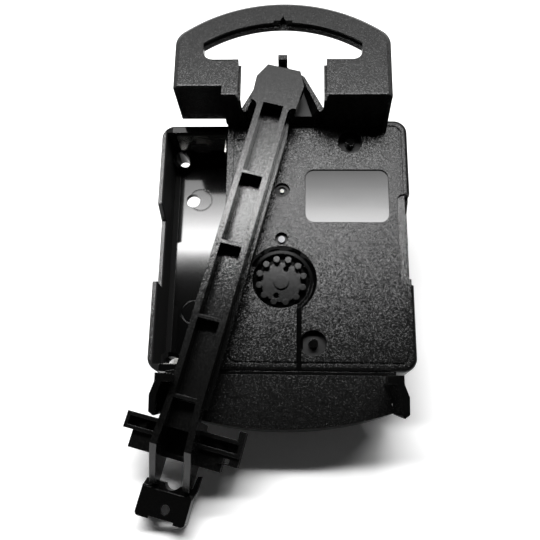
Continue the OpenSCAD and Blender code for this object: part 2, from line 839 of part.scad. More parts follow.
module hanger_legs() {
    difference() {
        union() {
            leg_box(leg_gap - leg_lean, hanger_x, leg_z, 0);
            leg_box(leg_gap, hanger_x, case_z, leg_front);
            leg_box(-left_leg_step - leg_wall, -leg_gap + leg_lean, leg_z + eps, 0);
            leg_box(-left_leg_step, -leg_gap, case_z, leg_front);
            leg_box(-hanger_x, -left_leg_step, left_leg_z, left_leg_front);
        }
        leg_slope();
    }
    leg_foot(leg_gap, hanger_x, leg_foot_drop);
    leg_foot(hanger_x - leg_tab_w, hanger_x, leg_tab_drop);
}

// Narrow facets along the lower rear edges of the legs and along the edge under the opening
module leg_facets() {
    y = hanger_y;
    for (leg = [[leg_gap, hanger_x, leg_z], [-left_leg_step, -leg_gap, leg_z],
        [-hanger_x, -left_leg_step, left_leg_z]])
        along_x(leg[0] - eps, leg[1] + eps) polygon([[y - eps, leg[2] + facet_h],
            [y + facet_t, leg[2] - eps], [y - 1, leg[2] - eps], [y - 1, leg[2] + facet_h]]);
    x1 = opening_x - opening_r;
    length = x1 - leg_gap - leg_wall;
    for (x0 = [leg_gap + leg_wall, -x1])
        along_x(x0, x0 + length) polygon([[y - eps, opening_z - facet_h],
            [y + facet_t, opening_z + eps], [y - 1, opening_z + eps], [y - 1, opening_z - facet_h]]);
}

module roof_outline() {
    x = leg_gap + leg_wall / 2;
    c = roof_corner;
    polygon([[-x, leg_z], [-x, roof_foot_z], [-roof_foot_x, roof_foot_z], [-roof_top_x, roof_top_z - c],
        [-roof_top_x + c, roof_top_z], [roof_top_x - c, roof_top_z], [roof_top_x, roof_top_z - c],
        [roof_foot_x, roof_foot_z], [x, roof_foot_z], [x, leg_z]]);
    for (side = [-1, 1]) translate([side * (roof_foot_x - roof_t / 2), leg_z]) circle(roof_end_r);
}

module roof_inside() {
    x0 = roof_foot_x - roof_t;
    x1 = roof_top_x - roof_t;
    polygon([[-x0, leg_z - 1], [-x0, roof_foot_z], [-x1, roof_top_z - roof_corner], [-x1, roof_top_z + 1],
        [x1, roof_top_z + 1], [x1, roof_top_z - roof_corner], [x0, roof_foot_z], [x0, leg_z - 1]]);
}

module niche_outline(z0) {
    z1 = roof_top_z + 1;
    polygon([[-niche_foot_x, z0], [-niche_top_x, z1], [niche_top_x, z1], [niche_foot_x, z0]]);
}

module bearing_wall() {
    difference() {
        along_y(roof_y, 0) roof_outline();
        hull() {
            along_y(roof_y - eps, roof_y) roof_inside();
            along_y(niche_y - eps, niche_y) niche_outline(leg_z - 1);
        }
        along_y(niche_y + niche_t, 1) niche_outline(leg_z + 1.1);
    }
    z1 = finger_z - 0.1;
    along_y(niche_y, niche_y + niche_t) polygon([[-niche_top_x - 1, pivot_z - 2], [-niche_top_x, z1],
        [niche_top_x, z1], [niche_top_x + 1, pivot_z - 2]]);
    block(-finger_w / 2, finger_w / 2, niche_y, niche_y + niche_t, roof_top_z - eps, finger_z + finger_t);
    block(-finger_w / 2, finger_w / 2, finger_end_y, niche_y + eps, finger_z, finger_z + finger_t);
}

module hanger_frame() {
    color(black) on_dial_seat() difference() {
        union() {
            hanger_rear();
            along_y(hanger_y + hanger_chamfer - eps, hanger_y + nail_notch_t) {
                arch_layer(0, arch_in_r);
                leg_outline(0);
            }
            along_y(hanger_y + nail_notch_t - eps, hanger_y + arch_t) {
                arch_layer(0, arch_in_r - arch_lip);
                leg_outline(0);
            }
            hanger_legs();
            bearing_wall();
        }
        nail_notch();
        leg_facets();
        block(-hanger_x, -left_leg_step - eps, hanger_y - 1, leg_front, leg_z - 1, left_leg_z);
        rod(0, pivot_z, pivot_pin_r + eps, niche_y - 1, niche_y + niche_t + 1);
    }
}

module pivot_pin() {
    color(steel) on_dial_seat() rod(0, pivot_z, pivot_pin_r, pin_end_y, niche_y + niche_t);
}

// Drive housing below the case
module housing_wedge(radius, half_angle, top) {
    reach = 2 * radius;
    x0 = on_line(top, half_angle);
    x1 = reach * tan(half_angle);
    intersection() {
        translate([0, pivot_z]) circle(radius, $fn = 128);
        polygon([[-x0, top], [x0, top], [x1, pivot_z - reach], [-x1, pivot_z - reach]]);
    }
}

module coil_housing() {
    wall_angle = housing_wall / housing_r * 180 / PI;
    color(black) on_dial_seat() {
        difference() {
            along_y(housing_plate, housing_depth)
                housing_wedge(housing_r, housing_half_angle, housing_top);
            along_y(0, housing_depth - housing_wall)
                housing_wedge(housing_r - housing_wall, housing_half_angle - wall_angle,
                    housing_top - housing_wall);
            rod(0, coil_z, bobbin_hole_r, 0, housing_depth + 1);
        }
        block(-bridge_x, bridge_x, bridge_y, housing_depth, housing_top, bridge_top);
    }
}

module housing_cover() {
    color(black) on_dial_seat() along_y(housing_y, housing_plate)
        housing_wedge(housing_r, housing_half_angle, housing_top);
}

// Right stop bracket: its inner face is radial, and its upper block stops the arm's rail
module stop_bracket() {
    x = bracket_x;
    y_stop = hanger_y + bumper_lip;
    top = bracket_top;
    low = bracket_shoulder;
    difference() {
        along_y(hanger_y, bracket_y1) polygon([[on_line(top, bracket_angle), top], [x, top], [x, low],
            [bracket_out, bracket_middle], [bracket_out - 0.1, bracket_low],
            [bracket_in + 0.35, bracket_tip], [bracket_in + 0.15, bracket_tip + 0.1],
            [bracket_in, bracket_middle]]);
        along_x(x - 3, x + 6) polygon([[hanger_y - eps, bracket_tip], [0, bracket_tip + bracket_slant],
            [0, bracket_tip - 1], [hanger_y - eps, bracket_tip - 1]]);
    }
    along_y(hanger_y, y_stop)
        polygon([[bumper_x, top], [x - eps, top], [x - eps, low], [bumper_x, low]]);
    along_y(y_stop - eps, hanger_y + bumper_l)
        polygon([[stop_x(top), top], [x - eps, top], [x - eps, low], [stop_x(low), low]]);
    along_y(bracket_y1 - 2, housing_depth - 2)
        polygon([[on_line(top, housing_half_angle), top], [x, top], [bracket_out, bracket_middle],
            [on_line(bracket_middle, housing_half_angle), bracket_middle]]);
}

module stop_bracket_right() {
    color(black) on_dial_seat() stop_bracket();
}

module stop_bracket_left() {
    color(black) on_dial_seat() mirror([1, 0, 0]) stop_bracket();
}

module locating_studs() {
    color(black) on_dial_seat() for (p = stud_places) rod(p[0], p[1], stud_r, stud_y, floor_y - 2);
}

// Battery contacts
module contact_positive() {
    z = inner_z - contact_t;
    x = contact_x1;
    color(brass) on_dial_seat() {
        block(contact_x0, x, contact_y0, contact_y1, z, inner_z);
        rod_z(bay_mid, cell_y, 2.6, z - 2 * contact_t, z + eps);
        block(x - contact_t, x, contact_y0, contact_y1, z - 4, z + eps);
    }
}

module contact_negative() {
    z = -inner_z;
    z1 = z + 1.4;
    color(brass) on_dial_seat() {
        block(contact_x0, contact_x1, contact_y0, contact_y1, z, z + contact_t);
        block(bay_mid - 3, bay_mid + 3, contact_y0, contact_y0 + contact_t, z, z1);
        block(bay_mid - 3, bay_mid + 3, contact_y0, contact_y1 - 2, z1 - contact_t, z1);
    }
}

// Middle plate between the two gear layers
module gear_plate() {
    y0 = plate_y - 1;
    y1 = plate_y + plate_t + 1;
    foot_x = [gear_x0 + 1.6, board_x0 - 2];
    color(white_plastic) on_dial_seat() difference() {
        union() {
            along_y(plate_y, plate_y + plate_t)
                round_rect(gear_x0 + 0.3, board_x0 - 0.4, -plate_z, plate_z, 1.5);
            for (x = foot_x, z = [-plate_foot_z, plate_foot_z]) rod(x, z, plate_foot_r, plate_y, floor_y);
        }
        rod(0, 0, seconds_r + running_gap, y0, y1);
        rod(0, rotor_z, arbor_r + running_gap, y0, y1);
        rod(intermediate_x, intermediate_z, arbor_r + running_gap, y0, y1);
        rod(third_x, third_z, arbor_r + running_gap, y0, y1);
        rod(0, -setting_z, set_tube_r + running_gap, y0, y1);
    }
}

// Electronics
module circuit_board() {
    hole_x = board_x0 + 1.6;
    foot_x = board_x0 + 6;
    color(board_green) on_dial_seat() {
        difference() {
            block(board_x0, board_x1, board_y, board_y + board_t, board_z0, board_z1);
            for (z = [board_z0 + 1.5, board_z1 - 1.5])
                rod(hole_x, z, board_screw_r, board_y - 1, board_y + board_t + 1);
        }
        for (z = [board_z0 + 3.5, board_z1 - 3]) rod(foot_x, z, 1, board_y + board_t - eps, floor_y);
    }
}

module control_chip() {
    color(black) on_dial_seat() cone(chip_place[0], chip_place[1], 2.2, 3, board_y - 1.3, board_y);
}

module quartz_crystal() {
    z = crystal_place[1];
    color(steel) on_dial_seat()
        rod_z(crystal_place[0], board_y - crystal_r, crystal_r, z, z + crystal_l);
}

// Stepping motor
module core_block() {
    block(core_x0, core_x1, stator_y, stator_y + stator_t, core_z - core_h / 2, core_z + core_h / 2);
}

module stator() {
    bar_z = rotor_z - 1.8;
    x1 = core_x1 + 0.6;
    z1 = core_z + core_h;
    color(steel) on_dial_seat() difference() {
        along_y(stator_y, stator_y + stator_t) {
            translate([0, rotor_z]) circle(stator_ring_r);
            translate([core_x0 - 2.4, rotor_z + 2]) square([5.4, z1 - rotor_z - 2]);
            translate([core_x0, bar_z]) square([x1 - core_x0, 3]);
            translate([x1 - 3, bar_z]) square([3, z1 - bar_z]);
        }
        rod(0, rotor_z, stator_hole_r, stator_y - 1, stator_y + stator_t + 1);
        core_block();
    }
}

module step_core() {
    color(steel) on_dial_seat() core_block();
}

module step_bobbin() {
    x0 = core_x0 + coil_inset;
    x1 = core_x1 - coil_inset;
    y = stator_y + stator_t / 2;
    color(white_plastic) on_dial_seat() difference() {
        union() {
            rod_x(x0, x1, y, core_z, coil_core_r);
            rod_x(x0, x0 + step_flange_t, y, core_z, step_flange_r);
            rod_x(x1 - step_flange_t, x1, y, core_z, step_flange_r);
        }
        core_block();
    }
}

module step_coil() {
    inset = coil_inset + step_flange_t;
    y = stator_y + stator_t / 2;
    color(copper) on_dial_seat() difference() {
        rod_x(core_x0 + inset, core_x1 - inset, y, core_z, step_coil_r);
        rod_x(core_x0, core_x1, y, core_z, coil_core_r);
    }
}

// Pendulum drive coil
module drive_bobbin() {
    y0 = drive_coil_y0;
    y1 = y0 + bobbin_flange + drive_coil_l;
    color(white_plastic) on_dial_seat() difference() {
        union() {
            rod(0, coil_z, bobbin_r, y0, housing_depth - housing_wall);
            rod(0, coil_z, drive_coil_r, y0, y0 + bobbin_flange);
            rod(0, coil_z, drive_coil_r, y1, y1 + bobbin_flange);
        }
        rod(0, coil_z, bobbin_hole_r, 0, housing_depth + 1);
    }
}

module drive_coil() {
    y0 = drive_coil_y0 + bobbin_flange;
    color(copper) on_dial_seat() difference() {
        rod(0, coil_z, drive_coil_r - 0.1, y0, y0 + drive_coil_l);
        rod(0, coil_z, bobbin_r, 0, housing_depth);
    }
}

module threaded_bush() {
    color(brass) on_dial_seat() difference() {
        union() {
            rod(0, 0, bush_r, case_depth - eps, case_depth + bush_l);
            rod(0, 0, bush_collar_r, floor_y - eps, case_depth);
            rod(0, 0, bush_flange_r, floor_y - bush_flange_t, floor_y);
        }
        rod(0, 0, hour_pipe_r + running_gap, floor_y - 5, case_depth + bush_l + 1);
    }
}

// Setting train
module set_wheel() {
    z = -setting_z;
    y1 = set_disc_y + set_disc_t;
    color(black) on_dial_seat() {
        difference() {
            union() {
                rod(0, z, set_disc_r, set_disc_y, y1);
                rod(0, z, set_hub_r, set_hub_y, set_disc_y + eps);
                for (i = [0:11])
                    translate([peg_circle_r * cos(30 * i + 12), 0, peg_circle_r * sin(30 * i + 12)])
                        rod(0, z, peg_r, peg_y, y1);
            }
            for (a = [71, 251])
                rod(set_hole_place * cos(a), z + set_hole_place * sin(a), set_hole_r, set_hub_y, y1 + 1);
        }
        difference() {
            rod(0, z, set_tube_r, y1 - eps, minute_y);
            rod(0, z, arbor_r, plate_y, minute_y + 1);
        }
    }
}

module minute_wheel() {
    z = -setting_z;
    m = minute_module;
    y1 = minute_y + wheel_t;
    color(white_plastic) on_dial_seat() {
        gear(0, z, minute_teeth, m, minute_y, y1, 90, true);
        gear(0, z, minute_pinion_teeth, hour_module, y1 - eps, hour_y + wheel_t + pinion_over, 90);
        rod(0, z, arbor_r, plate_y + plate_t, floor_y + shaft_pit - 0.1);
    }
}

module minute_pipe() {
    y1 = minute_y + wheel_t + pinion_over;
    color(brass) on_dial_seat() difference() {
        union() {
            gear(0, 0, cannon_teeth, minute_module, minute_y - pinion_over, y1, -90);
            rod(0, 0, minute_pipe_r, plate_y + plate_t + 0.2, hour_front);
            rod(0, 0, minute_pipe_r - seat_step, hour_front - eps, minute_front);
        }
        rod(0, 0, seconds_r + running_gap, plate_y, minute_front + 1);
    }
}

module hour_wheel() {
    color(white_plastic) on_dial_seat() difference() {
        union() {
            gear(0, 0, hour_teeth, hour_module, hour_y, hour_y + wheel_t, -90, true);
            rod(0, 0, hour_pipe_r, hour_y, case_depth + bush_l);
            rod(0, 0, hour_pipe_r - seat_step, case_depth + bush_l - eps, hour_front);
        }
        rod(0, 0, minute_pipe_r + running_gap, hour_y - 1, hour_front + 1);
    }
}

// Going train
module seconds_arbor() {
    color(steel) on_dial_seat() {
        rod(0, 0, rear_pivot_r, rear_pivot_y, rear_pivot_end);
        rod(0, 0, seconds_r, rear_pivot_end - eps, minute_front);
        rod(0, 0, seconds_r - seat_step, minute_front - eps, seconds_front);
    }
}

module seconds_wheel() {
    angle = atan2(intermediate_z, intermediate_x);
    y1 = seconds_y + wheel_t;
    y2 = third_y + wheel_t + pinion_over;
    color(white_plastic) on_dial_seat() difference() {
        union() {
            gear(0, 0, seconds_teeth, seconds_module, seconds_y, y1, angle);
            gear(0, 0, pinion_teeth, third_module, y1 - eps, y2, third_angle);
        }
        rod(0, 0, seconds_r, seconds_y - 1, plate_y);
    }
}

module third_wheel() {
    back = third_angle + 180;
    y0 = plate_y + plate_t + 0.3;
    y1 = centre_y + wheel_t + pinion_over;
    color(white_plastic) on_dial_seat() {
        gear(third_x, third_z, third_teeth, third_module, third_y, third_y + wheel_t, back, true);
        gear(third_x, third_z, pinion_teeth, centre_module, y0, y1, back);
        rod(third_x, third_z, arbor_r, third_y - 0.5, floor_y + shaft_pit - 0.1);
    }
}

module centre_wheel() {
    color(white_plastic) on_dial_seat() difference() {
        gear(0, 0, centre_teeth, centre_module, centre_y, centre_y + wheel_t, third_angle, true);
        rod(0, 0, minute_pipe_r + running_gap, centre_y - 1, centre_y + wheel_t + 1);
    }
}

module intermediate_wheel() {
    x = intermediate_x;
    z = intermediate_z;
    y0 = intermediate_y;
    y1 = y0 + wheel_t;
    y2 = seconds_y + wheel_t + pinion_over;
    color(white_plastic) on_dial_seat() {
        gear(x, z, intermediate_teeth, rotor_module, y0, y1, atan2(rotor_z - z, -x), true);
        gear(x, z, pinion_teeth, seconds_module, y1 - eps, y2, atan2(-z, -x), true);
        rod(x, z, arbor_r, arbor_y, plate_y + plate_t);
    }
}

module rotor_pinion() {
    y0 = intermediate_y - 0.2;
    y1 = intermediate_y + wheel_t + 0.3;
    angle = atan2(intermediate_z - rotor_z, intermediate_x);
    color(white_plastic) on_dial_seat() {
        gear(0, rotor_z, pinion_teeth, rotor_module, y0, y1, angle);
        rod(0, rotor_z, arbor_r, rotor_arbor_y, plate_y + plate_t);
    }
}

module rotor_magnet() {
    color([0.3, 0.3, 0.32]) on_dial_seat() difference() {
        rod(0, rotor_z, rotor_magnet_r, rotor_magnet_y, rotor_magnet_y + rotor_magnet_l);
        rod(0, rotor_z, arbor_r, 0, plate_y);
    }
}

// Pendulum arm, drawn upright below the pivot, then tilted
module tilted() {
    on_dial_seat() translate([0, 0, pivot_z]) rotate([0, arm_tilt, 0]) children();
}

module arm_head_outline(inset) {
    polygon([[-head_top_x + inset / 2, head_top - inset], [head_top_x - inset / 2, head_top - inset],
        [head_x - inset, -head_side], [head_bottom_x - inset, -head_bottom + inset],
        [-head_bottom_x + inset, -head_bottom + inset], [-head_x + inset, -head_side]]);
}

module arm_head() {
    difference() {
        along_y(arm_y, head_front) arm_head_outline(0);
        along_y(arm_y + head_skin, head_front + 1) arm_head_outline(1);
    }
    rod(0, 0, hub_r, arm_y + head_skin - eps, arm_front);
}

// Web between and outside the rails, with pointed upper ends
module arm_web() {
    x = half_arm + flange_w;
    x1 = half_arm + 0.2;
    z0 = 0.5 - head_bottom;
    z1 = -head_bottom - 0.4;
    z2 = -head_bottom - 5;
    along_y(web_y, arm_front) polygon([[-half_arm, z0], [-x1, z1], [-x, z2], [-x, -web_end], [x, -web_end],
        [x, z2], [x1, z1], [half_arm, z0]]);
}

module arm_rails() {
    inner = half_arm - rail_w;
    low_x = fork_half - 0.1;
    fillet = 1.2;
    z0 = 0.5 - head_bottom;
    for (side = [-1, 1]) {
        along_y(arm_y, web_y + eps) polygon([[side * inner, z0], [side * half_arm, z0],
            [side * half_arm, -web_end], [side * low_x, -fork_start], [side * (low_x - rail_w), -fork_start],
            [side * inner, -web_end]]);
        along_y(arm_y, web_y + eps) difference() {
            translate([side > 0 ? half_arm - eps : -half_arm - fillet, -head_bottom - fillet])
                square([fillet, fillet + 0.5]);
            translate([side * (half_arm + fillet), -head_bottom - fillet]) circle(fillet);
        }
    }
    for (i = [0:ribs - 1]) {
        z = i * rib_pitch - last_rib;
        block(-inner - eps, inner + eps, arm_y, web_y + eps, z - rib_t / 2, z + rib_t / 2);
    }
}

// Side plates of the fork, spread towards the foot, whose rear edges slope towards the dial
module fork_plate(side) {
    top = housing_r + housing_clear;
    x0 = half_arm + 0.15;
    x1 = fork_half;
    z1 = -fork_start - 2.4;
    z2 = -fork_end - 1;
    intersection() {
        along_x(min(0, side * (x1 + 1)), max(0, side * (x1 + 1)))
            polygon([[web_y, -top], [arm_y, -top], [arm_y, -fork_start], [fork_y, -fork_end],
                [foot_y, -fork_end], [foot_y, -top]]);
        along_y(arm_y - 1, foot_y + 1) polygon([[side * x0, -top], [side * x1, z1], [side * x1, z2],
            [side * (x1 - rail_w), z2], [side * (x1 - rail_w), z1], [side * (x0 - rail_w), -top]]);
    }
}

module crosspiece_cup(side) {
    x0 = half_arm;
    end = cross_x;
    height = cross_mid - cross_top;
    hollow = height - 2 * cross_wall;
    low_x = side > 0 ? lower_right_x : lower_x;
    ramp_x = side > 0 ? 7 : 7.9;
    ramp_w = 1.8;
    mirror([side > 0 ? 0 : 1, 0, 0]) {
        along_y(cross_y, foot_y) difference() {
            translate([x0, -cross_mid]) square([end - x0, height]);
            translate([x0 - 1, -cross_mid + cross_wall]) square([end - x0 + 1 - cross_wall, hollow]);
        }
        block(x0, end, foot_y - cross_wall, foot_y, -cross_mid, -cross_top);
        translate([0, 0, -cross_mid + cross_wall - eps]) linear_extrude(height = hollow + 2 * eps)
            polygon([[ramp_x, foot_y - eps], [ramp_x, cross_y + 1.2], [ramp_x + ramp_w, cross_y + 2.6],
                [ramp_x + ramp_w, foot_y - eps]]);
        along_y(cross_y + 1.8, foot_y)
            translate([x0, -cross_bottom]) square([low_x - x0, cross_bottom - cross_mid + cross_wall]);
    }
}

// End wall on the crosspiece's right, with its window
module crosspiece_end() {
    x1 = cross_x;
    x0 = lower_right_x - 0.9;
    along_y(cross_y + 1, foot_y) difference() {
        translate([x0, -cross_mid - 1.8]) square([x1 - x0, 1.8 + cross_wall / 2]);
        translate([lower_right_x, -cross_mid - 1.5]) square([1.35, 0.9]);
    }
    along_y(cross_y, foot_y) translate([x1 - 1.3, -cross_top - eps]) square([1.3, 1.9]);
}

// Parts of the arm between the fork's side plates
module fork_middle() {
    x = fork_half - rail_w / 2;
    block(-x, x, foot_y - 2.4, foot_y, -cross_bottom, -cross_top);
    block(-x, x, web_y, foot_y, -cross_top - 1, -cross_top);
    block(-half_arm, half_arm, web_y, arm_front, -web_low, -web_end + eps);
    block(-x, x, cross_y + 1.8, foot_y, -cross_bottom, -cross_bottom + 1);
}

module pendulum_arm() {
    color(black) tilted() difference() {
        union() {
            arm_head();
            arm_web();
            arm_rails();
            for (side = [-1, 1]) {
                fork_plate(side);
                crosspiece_cup(side);
            }
            crosspiece_end();
            fork_middle();
        }
        rod(0, 0, pivot_pin_r + running_gap, pin_end_y - 0.2, arm_front + 1);
        rod(0, -magnet_s, magnet_r + eps, arm_front - 0.4, arm_front + 1);
    }
}

module arm_magnet() {
    color(steel) tilted() rod(0, -magnet_s, magnet_r, arm_front - 0.4, arm_front - 0.4 + magnet_t);
}

// Hook plate at the arm's foot
module hook_outline() {
    w = hook_left + hook_right;
    difference() {
        union() {
            round_rect(-hook_left, hook_right, -hook_bottom, -hook_face_top, 0.8);
            translate([-hook_left, -hook_face_top - 1.5]) square([w, 1.5]);
        }
        translate([-2.8, -hook_bottom - 1]) square([5.3, 1.5]);
    }
}

// Upper part of the hook plate, sloping away from the viewer, with a round notch
module hook_slope() {
    y1 = hook_y + hook_depth;
    y2 = hook_y + hook_t;
    face = -hook_face_top;
    top = -hook_top;
    difference() {
        along_x(-hook_left, hook_right) polygon([[hook_y, face], [hook_y + 2.4, top], [y1, top],
            [y1, top - hook_t], [y2, top - hook_t - 1], [y2, face - 0.3], [hook_y, face - 0.3]]);
        rod(-0.1, 0.6 - hook_top, 1.7, hook_y - 1, y1 + 1);
    }
}

module hook_finger() {
    x = hook_right;
    z0 = -hook_face_top - 0.6;
    along_y(hook_y + 0.6, hook_y + 2.4) polygon([[x - 0.9, z0], [x - 0.45, 0.9 - hook_top],
        [x - 0.15, -finger_top - 0.1], [x + 0.65, 0.1 - finger_top], [x + 0.55, 0.2 - hook_top], [x, z0]]);
}

module hook_plate() {
    y1 = hook_y + hook_depth;
    z0 = 0.8 - hook_bottom;
    z1 = -hook_top - hook_t;
    color(black) tilted() difference() {
        union() {
            along_y(hook_y, hook_y + hook_t) hook_outline();
            block(-hook_left, hook_wall - hook_left, hook_y + eps, y1, z0, z1);
            block(hook_right - hook_wall, hook_right, hook_y + eps, y1, z0, z1);
            hook_slope();
            hook_finger();
        }
        rod(0.2, -hook_hole_s, hook_hole_r, hook_y - 1, y1 + 1);
        for (x = [-fork_half, fork_half - rail_w])
            block(x - eps, x + rail_w + eps, fork_y, foot_y + eps, -fork_end - eps, 1 - hook_top);
    }
}

front_shell();
back_cover();
hanger_frame();
pivot_pin();
coil_housing();
housing_cover();
stop_bracket_left();
stop_bracket_right();
locating_studs();
contact_positive();
contact_negative();
gear_plate();
circuit_board();
control_chip();
quartz_crystal();
stator();
step_core();
step_bobbin();
step_coil();
drive_bobbin();
drive_coil();
threaded_bush();
set_wheel();
minute_wheel();
minute_pipe();
hour_wheel();
seconds_arbor();
seconds_wheel();
third_wheel();
centre_wheel();
intermediate_wheel();
rotor_pinion();
rotor_magnet();
pendulum_arm();
arm_magnet();
hook_plate();
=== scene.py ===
"""Looks for the quartz pendulum clock movement: it lies dial side down on a white sheet, seen from above."""

import math

import bmesh
import bpy
from mathutils import Matrix, Vector

MM = 0.001

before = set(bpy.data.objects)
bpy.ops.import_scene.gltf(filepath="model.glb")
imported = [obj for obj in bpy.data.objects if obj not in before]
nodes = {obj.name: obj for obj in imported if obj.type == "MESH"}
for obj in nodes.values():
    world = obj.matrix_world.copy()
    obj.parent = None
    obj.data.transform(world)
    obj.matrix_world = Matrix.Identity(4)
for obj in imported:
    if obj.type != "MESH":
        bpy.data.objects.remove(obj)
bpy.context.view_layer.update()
scene = bpy.context.scene


# Camera, at the photograph's viewing angle

CAMERA_PLACE = Vector((2.36, -153.37, -46.84)) * MM
CAMERA_ROLL = math.radians(-0.9)
CAMERA_PAN = math.radians(1.74)
CAMERA_PITCH = math.radians(16.37)
SENSOR = 36
CAMERA_NEAR = 0.01
CAMERA_FAR = 10
FOCAL_SHARE = 663.43 / 540


def make_camera():
    """The camera looks along +Y, then pitches, pans and rolls."""
    data = bpy.data.cameras.new("camera")
    data.sensor_width = SENSOR
    data.lens = FOCAL_SHARE * SENSOR
    data.clip_start, data.clip_end = CAMERA_NEAR, CAMERA_FAR
    camera = bpy.data.objects.new("camera", data)
    scene.collection.objects.link(camera)
    turn = (
        Matrix.Rotation(CAMERA_ROLL, 3, "Y")
        @ Matrix.Rotation(CAMERA_PAN, 3, "Z")
        @ Matrix.Rotation(CAMERA_PITCH, 3, "X")
    )
    right, forward, up = turn.col
    facing = Matrix((right, up, -forward)).transposed()
    camera.matrix_world = Matrix.Translation(CAMERA_PLACE) @ facing.to_4x4()
    scene.camera = camera


# Node helpers


class Nodes:
    """Builds one material's node tree with short calls."""

    def __init__(self, name):
        self.material = bpy.data.materials.new(name)
        self.material.use_nodes = True
        self.tree = self.material.node_tree
        self.tree.nodes.clear()
        self.output = self.tree.nodes.new("ShaderNodeOutputMaterial")

    def add(self, kind, **inputs):
        """A node of that kind. Names with a _ prefix set the node's own properties, the rest its inputs."""
        node = self.tree.nodes.new("ShaderNode" + kind)
        for key, value in inputs.items():
            if key.startswith("_"):
                setattr(node, key[1:], value)
            else:
                self.put(node.inputs[key.replace("_", " ")], value)
        return node

    def put(self, socket, value):
        """Links an output to the socket, or sets its value."""
        if isinstance(value, bpy.types.NodeSocket):
            self.tree.links.new(value, socket)
        else:
            socket.default_value = value

    def math(self, operation, a, b=0.0, clamp=False):
        node = self.tree.nodes.new("ShaderNodeMath")
        node.operation = operation
        node.use_clamp = clamp
        self.put(node.inputs[0], a)
        self.put(node.inputs[1], b)
        return node.outputs[0]

    def mix(self, share, a, b):
        """Mixes two numbers."""
        node = self.tree.nodes.new("ShaderNodeMix")
        self.put(node.inputs["Factor"], share)
        self.put(node.inputs["A"], a)
        self.put(node.inputs["B"], b)
        return node.outputs["Result"]

    def mix_color(self, share, a, b):
        node = self.tree.nodes.new("ShaderNodeMix")
        node.data_type = "RGBA"
        self.put(node.inputs["Factor"], share)
        self.put(node.inputs[6], a)
        self.put(node.inputs[7], b)
        return node.outputs[2]

    def place(self):
        """Object coordinates in millimetres, as a vector and its three parts."""
        coords = self.add("TexCoord").outputs["Object"]
        scaled = self.add("VectorMath", _operation="SCALE")
        self.put(scaled.inputs[0], coords)
        scaled.inputs["Scale"].default_value = 1 / MM
        parts = self.add("SeparateXYZ", Vector=scaled.outputs[0])
        return scaled.outputs[0], parts.outputs

    def noise(self, place, scale, detail=2.0, roughness=0.5):
        """Noise with that many cells to a millimetre."""
        node = self.add("TexNoise", Vector=place, Scale=scale, Detail=detail, Roughness=roughness)
        return node.outputs["Fac"]

    def step(self, value, low, high):
        """0 below low, 1 above high, and smooth between."""
        node = self.add("MapRange", _interpolation_type="SMOOTHSTEP", Value=value)
        node.inputs["From Min"].default_value = low
        node.inputs["From Max"].default_value = high
        return node.outputs["Result"]

    def inside(self, parts, x=None, y=None, z=None, soft=0.05):
        """1 inside a box given in millimetres of the row frame, 0 outside."""
        result = 1.0
        for part, span in zip(parts, (x, y, z)):
            if span is None:
                continue
            above = self.step(part, span[0] - soft, span[0] + soft)
            below = self.step(part, span[1] + soft, span[1] - soft)
            result = self.math("MULTIPLY", result, self.math("MULTIPLY", above, below))
        return result

    def finish(self, shader):
        self.put(self.output.inputs["Surface"], shader.outputs[0])
        return self.material


def color(level, tint=(1, 1, 1)):
    """A grey of that level, tinted."""
    return (level * tint[0], level * tint[1], level * tint[2], 1)


# Black plastics

BLACK = 0.003
POLISHED = 0.08
SATIN = 0.4
DULL = 0.9
PLASTIC_IOR = 1.5
EDGE_R = 0.16 * MM
EDGE_SAMPLES = 4
GRAIN_CELLS = 5.2
GRAIN_TILT = 0.15
GRAIN_DEPTH = 0.03 * MM
PIT_ROUGH = 0.12
# Span of the grain noise where the crests get a painted highlight in the base colour.
PIT_SPAN = (0.55, 0.4)
CREST_SHEEN_SPAN = (0.45, 0.68)
WAVE_CELLS = 0.08
WAVE_DEPTH = 0.05 * MM
WAVE_STRENGTH = 0.3


